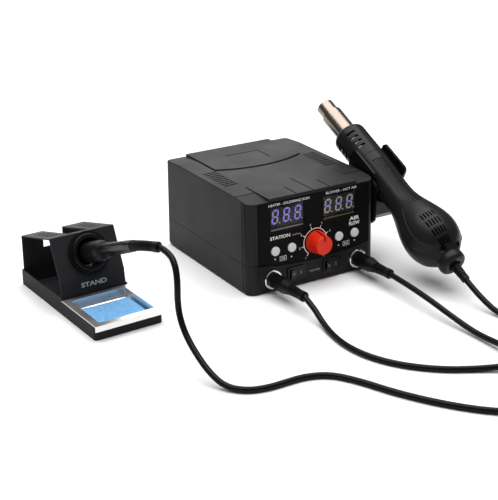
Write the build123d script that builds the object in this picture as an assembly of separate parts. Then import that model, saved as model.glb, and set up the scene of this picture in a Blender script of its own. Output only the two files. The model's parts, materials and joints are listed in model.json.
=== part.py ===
"""Hot air and soldering station: case, hot air gun in its side cradle, iron in its stand, two cords.

Millimetres, +Z up. The origin is on the bench in the case's middle plane, 80 mm behind the foot of
its front. +X is to the right of the front panel and -Y towards the person using it.
"""
import os
from math import atan, atan2, cos, degrees, hypot, pi, radians, sin, tan

from build123d import *

# Case
CASE_WIDTH = 146.5
CASE_DEPTH = 162.0
CASE_HEIGHT = 93.0
CASE_LEAN = 4.0               # how far the front's top stands behind its foot
CASE_BOTTOM = 2.0
PARTING_Z = 30.0
PARTING_GAP = 0.4
WALL = 2.5
PILLAR_RADIUS = 9.5
REAR_RADIUS = 5.0
FRONT_Y = -80.0
REAR_Y = FRONT_Y + CASE_DEPTH
REAR_CUT = (8.0, 3.0)          # length and height of the slope under the rear edge
TOP_ROUND = 1.0
TUB_X = 35.0                  # half sizes of the shallow tub that lowers the floor to the bench
TUB_Y = 45.0
LEAN_ANGLE = degrees(atan(CASE_LEAN / CASE_HEIGHT))
FACE = Plane(
    origin=(0, FRONT_Y, 0),
    x_dir=(1, 0, 0),
    z_dir=(0, -cos(radians(LEAN_ANGLE)), sin(radians(LEAN_ANGLE))),
)
SCREW_X = 60.0
SCREW_Y = (-58.0, 66.0)
FIT = 0.3                     # gap between pieces that move against each other
HOLE_FIT = 0.15               # gap round a piece that is fixed in a hole

# Top of the case: two raised panels and two groups of louvres
TOP_FRONT_Y = -53.0
TOP_FRONT_Z = 90.7
TOP_REAR_Y = 56.0
TOP_REAR_Z = 91.2
RAISED_HALF_WIDTH = 50.0
RAISED_HEIGHT = 0.9
LOUVRE_COUNT = 9
LOUVRE_PITCH = 5.0
LOUVRE_START_Y = -22.0
LOUVRE_LENGTH = 15.5
LOUVRE_X = 58.5
LINE_WIDTH = 1.3              # engraved lines and seams of the top
LINE_DEPTH = 0.8

# Front panel
PANEL_X = 1.5                 # the panel and its controls stand a little right of the middle
PANEL_HALF_WIDTH = 63.5
PANEL_GAP = 0.8
PANEL_TOP = 89.0
PANEL_SIDE_BOTTOM = 29.5
PANEL_MIDDLE_BOTTOM = 24.0
PANEL_THICKNESS = 2.5
DISPLAY_X = (-29.4, 30.6)
DISPLAY_OPENING = (38.0, 24.5)
DISPLAY_OPENING_Z = 71.8
DISPLAY_MODULE = (37.6, 19.0)
DISPLAY_MODULE_Z = 73.2
BUTTON_X = (-43.8, -25.2, 29.6, 48.2)
BUTTON_Z = 40.9
BUTTON_RADIUS = 4.5
BUTTON_PROUD = 1.6
KNOB_X = 2.0
KNOB_Z = 41.3
KNOB_BASE_RADIUS = 11.3
KNOB_FACE_RADIUS = 9.0
KNOB_LENGTH = 15.5
KNOB_FLUTES = 36
SWITCH_X = (-20.4, 20.6)
LOWER_ROW_Z = 14.0
SWITCH_BEZEL = (20.0, 13.5)
ROCKER = (15.6, 9.2)
ROCKER_TILT = 7.0
PIVOT_RADIUS = 0.95
PIVOT_HALF = 5.5
SOCKET_X = (-48.1, 50.3)
SOCKET_RING_RADIUS = 9.6
SOCKET_BORE_RADIUS = 7.6
SOCKET_BARREL_RADIUS = 8.0
SOCKET_PROUD = 4.0

# Plugs, measured outwards from the face
PLUG_START = 0.6
PLUG_RADIUS = 7.3
PLUG_END = 33.0
RELIEF_END = 55.0
RELIEF_RADIUS = 4.6
CORD_RADIUS = 2.75

# Hot air gun: s runs from the nozzle's mouth back along the axis
GUN_TILT = 25.4
GUN_TIP = (96.0, 43.0, 131.3)
GUN = Plane(
    origin=GUN_TIP,
    x_dir=(1, 0, 0),
    z_dir=(0, -cos(radians(GUN_TILT)), -sin(radians(GUN_TILT))),
)
NOZZLE_RADIUS = 9.0
NOZZLE_LENGTH = 24.0
HEATER_RADIUS = 10.8
HEATER_START = 14.3
HEATER_END = 118.0
COLLAR_START = 46.5
COLLAR_END = 89.6
COLLAR_RADIUS = 17.1
COLLAR_NOSE = ((0, 13.1), (0.4, 14.6), (1.3, 15.8), (2.6, 16.7), (4.2, COLLAR_RADIUS))
COLLAR_SLOT_S = (57.5, 64.2, 70.6, 77.4)
COLLAR_SLOTS_ROUND = 5
COLLAR_SLOT = (10.0, 2.4)     # round the collar and along it
COLLAR_SLOT_TURN = -33.0
HANDLE_START = 90.0
HANDLE_PROFILE = [
    (HANDLE_START, 17.1), (115, 16.3), (138, 15.2), (153, 16.4), (172, 21.8),
    (188, 26.2), (198, 27.3), (208, 26.2), (219, 21.2), (227, 14.2),
]
STUB_PROFILE = [
    (229, 12.9), (231, 13.4), (232.5, 13.6), (235, 13.6), (236.8, 13.1), (238.2, 11.9), (239, 10.2),
]
STUB_END = 239.0
STUB_FLOOR = 233.6
RECESS_RADIUS = 6.5
RECESS_DEPTH = 3.0
GROOVE_S = (100.0, 168.0)
GROOVE_ANGLES = (-33.0, -24.5, -16.0, -7.5, 1.0)
GROOVE_SIZE = (1.5, 1.0)      # width and depth
VENT_S = (191.0, 201.0, 211.0, 220.5)
VENT_ANGLES = (-34.0, -27.2, -20.4, -13.6, -6.8)
VENT_SIZE = (1.5, 7.0)        # width and length
HANDLE_WALL = 2.2
FAN_S = 197.0
FAN_RADIUS = 17.5
FAN_DROP = 4.0
GUN_RELIEF_END = 258.0
GUN_SCREWS = ((-9.0, 225.5, 8.5), (9.0, 225.5, 8.5))
SCREW_HEAD_HOLE = 3.2
BOSS_RADIUS = 3.4

# Cradle on the case's right side
CRADLE_START = 80.0
CRADLE_END = 121.0
CRADLE_INNER = COLLAR_RADIUS + 0.5
CRADLE_WALL = 2.4
EAR_HEIGHT = 14.5
ARM_END_X = 107.0
ARM_Y = (-67.0, -38.0)
ARM_Z = (42.0, 86.0)
FLANGE_Y = (-76.0, -29.0)
FLANGE_Z = (43.0, 87.0)

# Iron stand: its own frame has its corner at the front left, x across, y back
STAND = Location((-235.3, -85.2, 0), (0, 0, 2.5))
STAND_WIDTH = 68.5
STAND_DEPTH = 149.0
SHEET = 1.2
TRAY_WALL_HEIGHT = 13.3
STAND_WALL_HEIGHT = 15.5
PANEL_FOOT = (65.6, 2.0)
PANEL_LOW = (66.0, 14.5)
PANEL_CREASE = (68.3, 29.9)
PANEL_CREST = (85.5, 66.9)
HOLDER_REAR_Y = 147.0
HOLDER_REAR_TOP = 50.0
SLANT = degrees(atan((PANEL_CREST[0] - PANEL_CREASE[0]) / (PANEL_CREST[1] - PANEL_CREASE[1])))
RING_CENTRE = (35.5, 77.3, 49.3)
RING_BORE = 13.5
SLEEVE_STRAIGHT = -18.0
SLEEVE_END = -34.0
SLEEVE_MOUTH = 8.0
SLEEVE_WALL = 1.5
NOTCH_X = (23.0, 44.0)
NOTCH_FRONT_Y = 93.0
NOTCH_BOTTOM_Z = 34.0
TRAY_X = (-0.2, 68.7)
TRAY_Y = (-2.0, 63.8)
TRAY_POCKET_X = (6.0, 63.5)
TRAY_POCKET_Y = (3.5, 59.5)
TRAY_RIM_Z = 13.7
TRAY_RIM = 0.8
TRAY_FLOOR_Z = 3.4
SPONGE_X = (8.5, 61.0)
SPONGE_Y = (6.0, 50.0)
SPONGE_THICKNESS = 4.8

# Soldering iron: w runs outwards along its axis from the middle of the stand's ring
IRON_TILT = 22.5
IRON = STAND * Location(RING_CENTRE, (90 - IRON_TILT, 0, 0))
GRIP_START = -14.0
GRIP_END = 38.0
HANDLE_END = 96.0
IRON_HANDLE_RADIUS = 6.2

# Cord routes, chosen by hand. The iron's cord falls from the iron, lies on the bench and is wound up
# to the front right of the case, and so is the gun's cord.
FLOOR = CORD_RADIUS
IRON_RELIEF_ROUTE = [(-199.3, -95.2, 86.0), (-198.4, -106.6, 90.8), (-190.0, -125.5, 93.2)]
IRON_DROP_ROUTE = [
    (-190.0, -125.5, 93.2), (-187.6, -138.0, 91.8), (-188.6, -149.3, 85.2), (-190.2, -155.2, 73.0),
    (-191.2, -156.4, 57.0), (-191.4, -159.8, 43.0), (-191.3, -169.0, 31.0), (-190.7, -184.0, 20.5),
    (-189.0, -203.0, 10.5), (-184.2, -221.0, 3.6), (-172.0, -234.0, FLOOR), (-155.5, -239.0, FLOOR),
    (-138.5, -239.0, FLOOR),
]
IRON_LEAD_ROUTE = [
    (-138.0, -239.0, FLOOR), (-119.0, -239.0, FLOOR), (-99.0, -247.0, FLOOR), (-85.0, -269.0, FLOOR),
    (-73.0, -298.0, FLOOR), (-55.0, -329.0, FLOOR), (-33.0, -357.0, FLOOR), (-9.0, -376.0, FLOOR),
    (13.9, -386.6, FLOOR),
]
IRON_RETURN_ROUTE = [
    (55.8, -338.4, 7.4), (37.0, -319.0, 5.6), (12.0, -304.5, FLOOR), (-14.0, -290.0, FLOOR),
    (-37.0, -268.0, FLOOR), (-52.0, -242.0, FLOOR), (-57.5, -214.0, FLOOR), (-55.0, -188.0, FLOOR),
    (-50.4, -166.0, 5.0), (-48.4, -150.0, 11.8), (-48.1, -134.8, 16.4),
]
GUN_LEAD_ROUTE = [
    (96.0, -190.4, 20.5), (96.0, -201.3, 15.3), (96.4, -215.0, 9.6), (97.6, -231.0, 4.0),
    (101.5, -250.0, FLOOR), (110.0, -271.0, FLOOR), (121.9, -293.0, FLOOR),
]
GUN_RETURN_ROUTE = [
    (54.0, -305.0, 7.4), (53.0, -281.0, 5.4), (52.4, -253.0, 4.0), (51.0, -222.0, 8.4),
    (50.6, -192.0, 12.6), (50.4, -162.0, 15.2), (50.3, -134.8, 16.4),
]

# Wound part of each cord: two layers between an entry and an exit, in turns
COIL_MIDDLE_RADIUS = 28.5
COIL_PITCH = 5.7
COIL_HEIGHT = 11.0
IRON_COIL_CENTRE = (33.2, -361.0)
IRON_COIL_TURNS = 2.48
GUN_COIL_CENTRE = (89.0, -305.0)
GUN_COIL_TURNS = 4.56


def block(x, y, z):
    """A box from its two limits along each axis."""
    size = (x[1] - x[0], y[1] - y[0], z[1] - z[0])
    middle = ((x[0] + x[1]) / 2, (y[0] + y[1]) / 2, (z[0] + z[1]) / 2)
    return Pos(*middle) * Box(*size)


def rod(radius, start, end):
    """A cylinder along local Z between two heights."""
    return Pos(0, 0, (start + end) / 2) * Cylinder(radius, end - start)


def cone(start_radius, end_radius, start, end):
    """A cone along local Z between two heights."""
    return Pos(0, 0, (start + end) / 2) * Cone(start_radius, end_radius, end - start)


def plate(width, height, start, end, radius=0.0):
    """A rectangular slab along local Z, with rounded corners if a radius is given."""
    outline = RectangleRounded(width, height, radius) if radius else Rectangle(width, height)
    return Pos(0, 0, start) * extrude(outline, amount=end - start)


def turned(points):
    """A solid of revolution about local Z from (height, radius) points."""
    outline = [(0, points[0][0])] + [(r, h) for h, r in points] + [(0, points[-1][0])]
    return revolve(make_face(Plane.XZ * Polyline(*outline, close=True)), axis=Axis.Z)


def on_face(x, z):
    """A place on the front face, with local Z pointing out of it."""
    return FACE.location * Pos(x, z, 0)


def corner_radii(points):
    """Radii of the arcs at each inner point of a cord's route."""
    radii = []
    for before, here, after in zip(points, points[1:], points[2:]):
        run_in = Vector(*here) - Vector(*before)
        run_out = Vector(*after) - Vector(*here)
        half_turn = radians(run_in.get_angle(run_out)) / 2
        radii.append(0.45 * min(run_in.length, run_out.length) / tan(half_turn))
    return radii


def tube(name, points, radius):
    """A round cord along straight runs joined by tangent arcs."""
    radii = corner_radii(points)
    path = FilletPolyline(*points, radius=radii)
    section = Plane(origin=path @ 0, z_dir=path % 0) * Circle(radius)
    solid = sweep(section, path=path)
    ratio = solid.volume / (pi * radius ** 2 * path.length)
    print(name, "length", round(path.length), "radii", [round(r) for r in radii],
          "volume ratio", round(ratio, 4))
    return solid


# ---------------------------------------------------------------- case

def case_outline(inset):
    """Side view of the case in the YZ plane, shrunk by the inset."""
    top_front_y = FRONT_Y + CASE_LEAN * TOP_FRONT_Z / CASE_HEIGHT
    outline = make_face(Plane.YZ * Polyline(
        (FRONT_Y + CASE_LEAN * CASE_BOTTOM / CASE_HEIGHT, CASE_BOTTOM), (REAR_Y - REAR_CUT[0], CASE_BOTTOM),
        (REAR_Y, CASE_BOTTOM + REAR_CUT[1]), (REAR_Y, TOP_REAR_Z), (TOP_REAR_Y, CASE_HEIGHT),
        (TOP_FRONT_Y, CASE_HEIGHT), (top_front_y, TOP_FRONT_Z), close=True))
    return offset(outline, amount=-inset, kind=Kind.INTERSECTION) if inset else outline


def upright_edges(solid, front):
    """The case's long upright corner edges, at the front or at the rear."""
    edges = []
    for edge in solid.edges():
        tall = edge.length > 0.7 * CASE_HEIGHT and abs(edge.tangent_at(0.5).Z) > 0.9
        if tall and (edge.center().Y < 0) == front:
            edges.append(edge)
    return edges


def case_block(inset):
    """The case as one solid, shrunk by the inset."""
    body = extrude(case_outline(inset), amount=CASE_WIDTH / 2 - inset, both=True)
    body = fillet(upright_edges(body, True), PILLAR_RADIUS - inset)
    body = fillet(upright_edges(body, False), REAR_RADIUS - inset)
    if inset:
        return body
    rim = [edge for edge in body.edges() if edge.center().Z > TOP_FRONT_Z - 0.5 and abs(edge.center().X) > 1]
    return fillet(rim, TOP_ROUND)


def rear_outline(grow):
    """Outline of the raised rear panel: a bulging front edge and straight sides, grown by a margin."""
    half = RAISED_HALF_WIDTH + grow
    arc = ThreePointArc((-half, 22.5 - grow), (0, 11.5 - grow), (half, 22.5 - grow))
    rest = Polyline((half, 22.5 - grow), (half, REAR_Y - 0.6), (-half, REAR_Y - 0.6), (-half, 22.5 - grow))
    return make_face(Curve() + [arc, rest])


def panel_seams():
    """Shallow grooves round both raised panels; the panels themselves fill the rest again."""
    low = CASE_HEIGHT - LINE_DEPTH
    half = RAISED_HALF_WIDTH + LINE_WIDTH
    front = block((-half, half), (FRONT_Y + 7, -36.0), (low, CASE_HEIGHT + 2))
    return front + Pos(0, 0, low) * extrude(rear_outline(LINE_WIDTH), amount=LINE_DEPTH + 2)


def raised_panels():
    """Flat panels that stand a little above the sloping ends of the top."""
    top = CASE_HEIGHT + RAISED_HEIGHT
    base = CASE_HEIGHT - 2.6
    lip_y = FRONT_Y + CASE_LEAN * base / CASE_HEIGHT + 0.2
    front = block((-RAISED_HALF_WIDTH, RAISED_HALF_WIDTH), (lip_y, -36.0), (base, CASE_HEIGHT + 0.35))
    rear = Pos(0, 0, base) * extrude(rear_outline(0), amount=top - base)
    rear = chamfer(rear.faces().sort_by(Axis.Z)[-1].edges(), 0.5)
    return front + rear


def top_cuts():
    """Louvre slots, and the engraved lines of the top."""
    cuts = []
    for side in (-1, 1):
        for index in range(LOUVRE_COUNT):
            y = LOUVRE_START_Y + index * LOUVRE_PITCH
            cuts.append(Pos(side * LOUVRE_X, y, CASE_HEIGHT - 2) * Box(LOUVRE_LENGTH, 2.0, 8))
        seam_x = side * (CASE_WIDTH / 2 + RAISED_HALF_WIDTH) / 2
        seam = Box(CASE_WIDTH / 2 - RAISED_HALF_WIDTH, LINE_WIDTH, 2 * LINE_DEPTH)
        cuts.append(Pos(seam_x, TOP_FRONT_Y, CASE_HEIGHT) * seam)
        cuts.append(Pos(side * 19, -65, CASE_HEIGHT) * Box(LINE_WIDTH, 21, 2 * LINE_DEPTH))
    cuts.append(Pos(0, -56, CASE_HEIGHT) * Box(LINE_WIDTH, 40, 2 * LINE_DEPTH))
    engraved_z = CASE_HEIGHT + RAISED_HEIGHT
    cuts.append(Pos(0, 53.7, engraved_z) * Box(38, LINE_WIDTH, 2 * LINE_DEPTH))
    cuts.append(Pos(19, 41, engraved_z) * Box(LINE_WIDTH, 26, 2 * LINE_DEPTH))
    return cuts


def pillar_grooves():
    """Upright grooves that set the front corner pillars apart from the sides."""
    grooves = []
    for side in (-1, 1):
        groove = Box(1.4, 1.1, CASE_HEIGHT)
        grooves.append(Pos(side * CASE_WIDTH / 2, FRONT_Y + PILLAR_RADIUS + 3.6, CASE_HEIGHT / 2)
                       * Rot(-LEAN_ANGLE, 0, 0) * groove)
    return grooves


def panel_outline(gap):
    """Outline of the front panel: straight sides and a sagging lower edge."""
    half = PANEL_HALF_WIDTH + gap
    low = PANEL_SIDE_BOTTOM - gap
    arc = ThreePointArc((-half, low), (0, PANEL_MIDDLE_BOTTOM - gap), (half, low))
    rest = Polyline((half, low), (half, PANEL_TOP + gap), (-half, PANEL_TOP + gap), (-half, low))
    return Pos(PANEL_X, 0) * make_face(Curve() + [arc, rest])


def panel_cut():
    """What the front panel takes out of both shells."""
    outline = panel_outline(PANEL_GAP)
    return FACE.location * Pos(0, 0, -PANEL_THICKNESS - 3) * extrude(outline, amount=PANEL_THICKNESS + 6)


def upper_shell(outer, inner):
    """Upper half of the case, with louvres and raised panels."""
    shell = outer - panel_seams() + raised_panels() - inner
    shell -= block((-100, 100), (-100, 100), (-10, PARTING_Z))
    shell -= panel_cut()
    shell -= top_cuts()
    return shell - pillar_grooves()


def screw_places():
    """Centres of the four case screws and feet."""
    return [(x, y) for x in (-SCREW_X, SCREW_X) for y in SCREW_Y]


def lower_shell(outer, inner):
    """Lower half of the case: floor tub, screw posts and the openings of the lower row and the inlet."""
    shell = outer - inner
    shell += block((-TUB_X, TUB_X), (-TUB_Y, TUB_Y), (0, CASE_BOTTOM + WALL))
    shell -= block((WALL - TUB_X, TUB_X - WALL), (WALL - TUB_Y, TUB_Y - WALL), (WALL, 10))
    shell -= block((-100, 100), (-100, 100), (PARTING_Z - PARTING_GAP, 110))
    shell -= panel_cut()
    for x, y in screw_places():
        shell += Pos(x, y, 0) * rod(4.5, CASE_BOTTOM + 1, PARTING_Z - PARTING_GAP)
    for x, y in screw_places():
        shell -= Pos(x, y, 0) * rod(1.7, -1, PARTING_Z + 5)
        shell -= Pos(x, y, 0) * rod(3.2, -1, CASE_BOTTOM + 3)
    for x in SWITCH_X:
        shell -= on_face(x, LOWER_ROW_Z) * plate(18.4, 11.9, -9, 3)
    for x in SOCKET_X:
        shell -= on_face(x, LOWER_ROW_Z) * rod(SOCKET_BARREL_RADIUS + HOLE_FIT, -9, 3)
    shell -= Pos(-40, REAR_Y, 18) * Box(28, 12, 20)
    return shell - pillar_grooves()


def front_panel():
    """Fascia with its display openings, button holes and the hole for the knob's shaft."""
    panel = FACE.location * Pos(0, 0, -PANEL_THICKNESS) * extrude(panel_outline(0), amount=PANEL_THICKNESS)
    for x in DISPLAY_X:
        panel -= on_face(x, DISPLAY_OPENING_Z) * plate(*DISPLAY_OPENING, -6, 2, 1.0)
    for x in BUTTON_X:
        panel -= on_face(x, BUTTON_Z) * rod(BUTTON_RADIUS + FIT, -6, 2)
    return panel - on_face(KNOB_X, KNOB_Z) * rod(4.6, -6, 2)


def display_windows():
    """Clear windows set into the two display openings."""
    windows = []
    for x in DISPLAY_X:
        windows.append(on_face(x, DISPLAY_OPENING_Z) * plate(37.9, 24.4, -1.3, -0.5, 1.0))
    return Compound(children=windows)


def display(x):
    """Three-digit display module behind one opening."""
    return on_face(x, DISPLAY_MODULE_Z) * plate(*DISPLAY_MODULE, -10.0, -2.0)


def button(x):
    """Round push button: a domed cap on a stem with a shoulder behind the panel."""
    cap = fillet(rod(BUTTON_RADIUS, -4.2, BUTTON_PROUD).edges().sort_by(Axis.Z)[-1], 0.8)
    return on_face(x, BUTTON_Z) * (cap + rod(2.0, -8.0, -4.2))


def dial_knob():
    """Tapered control knob with fine flutes and a blind bore for its shaft."""
    body = cone(KNOB_BASE_RADIUS, KNOB_FACE_RADIUS, 0.6, KNOB_LENGTH + 0.6)
    body = fillet(body.edges().sort_by(Axis.Z)[-1], 0.9)
    slope = degrees(atan((KNOB_BASE_RADIUS - KNOB_FACE_RADIUS) / KNOB_LENGTH))
    middle = ((KNOB_BASE_RADIUS + KNOB_FACE_RADIUS) / 2, 0, KNOB_LENGTH / 2)
    for index in range(KNOB_FLUTES):
        angle = 90 + (index + 0.5) * 360 / KNOB_FLUTES
        body -= Rot(0, 0, angle) * Pos(*middle) * Rot(0, -slope, 0) * Box(0.9, 0.7, KNOB_LENGTH - 3)
    return on_face(KNOB_X, KNOB_Z) * (body - rod(3.0, 0, 11))


def knob_shaft():
    """Shaft pressed into the knob, turning in the potentiometer's bush."""
    return on_face(KNOB_X, KNOB_Z) * rod(3.0, -9.0, 11)


def potentiometer():
    """Potentiometer can with its threaded bush through the panel."""
    body = rod(8.0, -16.0, -9.5) + rod(4.4, -9.5, -0.2)
    return on_face(KNOB_X, KNOB_Z) * (body - rod(3.05, -9.4, 1))


def display_board():
    """Circuit board behind the front panel."""
    board = plate(118, 54, -11.6, -10.0)
    board = FACE.location * Pos(0, 59, 0) * board
    return board - on_face(KNOB_X, KNOB_Z) * rod(8.4, -20, 0)


def switch_frame(x):
    """Rocker switch body with its bezel and the holes of the rocker's pivot."""
    frame = plate(*SWITCH_BEZEL, 0.05, 1.6, 1.6) + plate(18.2, 11.7, -12, 0.05)
    frame -= plate(ROCKER[0] + 1.0, ROCKER[1] + 0.8, -5, 3)
    frame -= Rot(90, 0, 0) * rod(PIVOT_RADIUS + 0.1, -PIVOT_HALF - 0.1, PIVOT_HALF + 0.1)
    return on_face(x, LOWER_ROW_Z) * frame


def rocker(x):
    """Rocker key, two flats meeting at a shallow angle, lying on its off side, with its pivot pin."""
    half = ROCKER[0] / 2
    outline = make_face(Plane.XZ * Polyline(
        (-half, 0.4), (-half, 2.6), (0, 1.5), (half, 2.6), (half, 0.4), (0, -3.6), close=True))
    key = extrude(outline, amount=ROCKER[1] / 2, both=True)
    key += Rot(90, 0, 0) * rod(PIVOT_RADIUS, -PIVOT_HALF, PIVOT_HALF)
    return on_face(x, LOWER_ROW_Z) * Rot(0, ROCKER_TILT, 0) * key


def socket(x):
    """Panel connector: threaded barrel with its ring."""
    ring = rod(SOCKET_RING_RADIUS, 0.05, SOCKET_PROUD)
    ring = chamfer(ring.edges().sort_by(Axis.Z)[-1], 0.7)
    body = ring + rod(SOCKET_BARREL_RADIUS, -14, 0.05)
    return on_face(x, LOWER_ROW_Z) * (body - rod(SOCKET_BORE_RADIUS, PLUG_START, SOCKET_PROUD + 1))


def plug(x):
    """Cord plug with finger ribs."""
    body = rod(PLUG_RADIUS, PLUG_START, 24) + cone(PLUG_RADIUS, 5.4, 24, PLUG_END)
    for index in range(6):
        groove = rod(PLUG_RADIUS + 1, 0, 1.2) - rod(PLUG_RADIUS - 1.1, 0, 1.2)
        body -= Pos(0, 0, SOCKET_PROUD + 3 + index * 2.7) * groove
    return on_face(x, LOWER_ROW_Z) * body


def plug_relief(x):
    """Tapered strain relief of a plug."""
    relief = cone(5.2, RELIEF_RADIUS, PLUG_END, RELIEF_END - 6) + rod(5.0, RELIEF_END - 6, RELIEF_END)
    return on_face(x, LOWER_ROW_Z) * relief


def main_board():
    """Main circuit board on the case floor."""
    return block((-20, 55), (-48, 52), (10, 11.6))


def transformer():
    """Mains transformer: laminated core with its winding."""
    core = block((-64, -24), (14, 58), (CASE_BOTTOM + WALL + 0.1, 42)) - block((-56, -46), (10, 62), (13, 34))
    core -= block((-42, -32), (10, 62), (13, 34))
    return core + block((-56, -32), (8, 64), (14, 33))


def mains_inlet():
    """Appliance inlet in the rear wall, with its three pins."""
    body = Pos(-40, REAR_Y - 7, 18) * Box(27, 16, 19.4) + Pos(-40, REAR_Y + 0.8, 18) * Box(31, 1.6, 24)
    body -= Pos(-40, REAR_Y, 18) * Box(24, 18, 16)
    for x, z in ((-47, 16), (-40, 20.5), (-33, 16)):
        body += Pos(x, REAR_Y - 8, z) * Box(2, 14, 4)
    return body


def rubber_feet():
    """Four feet under the lower shell, each a ring round its screw."""
    feet = []
    for x, y in screw_places():
        feet.append(Pos(x, y, 0) * (cone(6.6, 7.2, 0, CASE_BOTTOM) - rod(3.4, -1, 3)))
    return Compound(children=feet)


def case_screws():
    """Four screws from below."""
    screws = []
    for x, y in screw_places():
        screw = rod(2.8, CASE_BOTTOM + 0.6, CASE_BOTTOM + 3) + rod(1.7, CASE_BOTTOM + 3, 26)
        screws.append(Pos(x, y, 0) * screw)
    return Compound(children=screws)


# ---------------------------------------------------------------- cradle and gun

def gun_cradle():
    """Open channel under the gun, with an ear each side and an arm to the case."""
    length = CRADLE_END - CRADLE_START
    outer = CRADLE_INNER + CRADLE_WALL
    middle = (CRADLE_START + CRADLE_END) / 2
    channel = rod(outer, CRADLE_START, CRADLE_END)
    channel += Pos(0, EAR_HEIGHT / 2, middle) * Box(2 * outer, EAR_HEIGHT, length)
    channel -= rod(CRADLE_INNER, CRADLE_START - 1, CRADLE_END + 1)
    channel -= Pos(0, 20, middle) * Box(2 * CRADLE_INNER, 40, length + 2)
    ear_edges = [edge for edge in channel.edges().filter_by(Axis.X) if edge.center().Y > EAR_HEIGHT - 0.5]
    channel = fillet(ear_edges, 5.0)
    arm = block((CASE_WIDTH / 2 + 0.02, ARM_END_X), ARM_Y, ARM_Z)
    arm = chamfer(arm.edges().filter_by(Axis.X), 6.0)
    flange = block((CASE_WIDTH / 2 + 0.02, CASE_WIDTH / 2 + 2.6), FLANGE_Y, FLANGE_Z)
    arm = arm + chamfer(flange.edges().filter_by(Axis.X), 4.0)
    arm -= GUN.location * rod(CRADLE_INNER + 0.6, 0, 300)
    arm -= GUN.location * Pos(0, 30, 150) * Box(2 * CRADLE_INNER, 60, 300)
    return arm + GUN.location * channel


def cradle_screws():
    """Four screws that hold the cradle's flange to the case."""
    screws = []
    for y in (FLANGE_Y[0] + 4, FLANGE_Y[1] - 4):
        for z in (FLANGE_Z[0] + 7, FLANGE_Z[1] - 10):
            head = Rot(0, 90, 0) * rod(2.6, 0, 1.8)
            screws.append(Pos(CASE_WIDTH / 2 + 2.62, y, z) * head)
    return Compound(children=screws)


def gun_nozzle():
    """Straight outlet pipe."""
    pipe = rod(NOZZLE_RADIUS, 0, NOZZLE_LENGTH) - rod(NOZZLE_RADIUS - 0.7, -1, NOZZLE_LENGTH + 1)
    return GUN.location * pipe


def heater_tube():
    """Steel tube round the heating element, with its clamp step for the nozzle."""
    tube_body = rod(HEATER_RADIUS, HEATER_START, HEATER_END)
    tube_body -= rod(HEATER_RADIUS - 0.8, NOZZLE_LENGTH, HEATER_END + 1)
    return GUN.location * (tube_body - rod(NOZZLE_RADIUS, HEATER_START - 1, NOZZLE_LENGTH + 1))


def heater_core():
    """Ceramic element holder inside the tube."""
    core = rod(8.6, NOZZLE_LENGTH + 6, HEATER_END - 6)
    for angle in range(0, 360, 60):
        core -= Rot(0, 0, angle) * Pos(5.6, 0, 0) * rod(1.4, 20, HEATER_END)
    return GUN.location * core


def gun_collar():
    """Slotted collar that shields the hot end."""
    nose = [(COLLAR_START + along, radius) for along, radius in COLLAR_NOSE]
    collar = turned(nose + [(COLLAR_END, COLLAR_RADIUS)])
    collar -= rod(COLLAR_RADIUS - 2.0, COLLAR_START + 4, COLLAR_END + 1)
    collar -= rod(HEATER_RADIUS + 0.4, 0, COLLAR_START + 8)
    slot = Box(COLLAR_SLOT[0], 8, COLLAR_SLOT[1])
    slots = []
    for s in COLLAR_SLOT_S:
        for index in range(COLLAR_SLOTS_ROUND):
            angle = COLLAR_SLOT_TURN + 360 / COLLAR_SLOTS_ROUND * index
            slots.append(Rot(0, 0, -angle) * Pos(0, COLLAR_RADIUS, s) * slot)
    return GUN.location * (collar - slots)


def handle_solid(shrink):
    """Handle's outer form, shrunk by a wall: a smooth bulge and a stepped tail."""
    points = [(r - shrink, s) for s, r in HANDLE_PROFILE]
    stub_end = STUB_FLOOR if shrink else STUB_END
    stub = [(r - shrink, s) for s, r in STUB_PROFILE if s <= stub_end]
    curve = Spline(*points, tangents=[(-0.02, 1), (-0.6, 1)])
    rest = Polyline(points[-1], *stub, (stub[-1][0] - 0.1, stub_end + 0.05), (0, stub_end + 0.05),
                    (0, HANDLE_START), points[0])
    return revolve(make_face(Plane.XZ * (Curve() + [curve, rest])), axis=Axis.Z)


def grip_grooves():
    """Long shallow grooves along the front of the handle, following its surface."""
    width, depth = GROOVE_SIZE
    middle = (GROOVE_S[0] + GROOVE_S[1]) / 2
    slab = Pos(0, 18, middle) * Box(width, 20, GROOVE_S[1] - GROOVE_S[0])
    core = handle_solid(depth)
    return [Rot(0, 0, -angle) * slab - core for angle in GROOVE_ANGLES]


def intake_slots():
    """Slots through the bulge that let air in to the fan."""
    slot = Box(VENT_SIZE[0], 16, VENT_SIZE[1])
    return [Rot(0, 0, -angle) * Pos(0, 24, s) * slot for s in VENT_S for angle in VENT_ANGLES]


def gun_shell(top):
    """One half of the handle. The upper half has the grip grooves and the fan's intake slots."""
    shell = handle_solid(0) - handle_solid(HANDLE_WALL) - rod(5.0, 200, 300)
    shell -= rod(RECESS_RADIUS, STUB_END - RECESS_DEPTH, STUB_END + 1)
    keep = Pos(0, 30 if top else -30, 180) * Box(80, 59.9, 200)
    shell = shell & keep
    for x, s, depth in GUN_SCREWS:
        reach = depth + 4 if top else -depth - 4
        boss = Pos(x, reach / 2, s) * Rot(90, 0, 0) * Cylinder(BOSS_RADIUS, abs(reach))
        shell += boss & handle_solid(HANDLE_WALL / 2) & keep
        shell -= Pos(x, 0, s) * Rot(-90, 0, 0) * rod(1.7, -depth, 60)
        shell -= Pos(x, 0, s) * Rot(-90, 0, 0) * rod(SCREW_HEAD_HOLE, depth, 60)
    if top:
        shell -= grip_grooves() + intake_slots()
    return GUN.location * shell


def fan_motor():
    """Motor under the fan, on its mounting disc."""
    motor = rod(9.0, -12, -1.5) + rod(16.0, -13.5, -12)
    return GUN.location * Pos(0, -FAN_DROP, FAN_S) * Rot(-90, 0, 0) * motor


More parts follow.
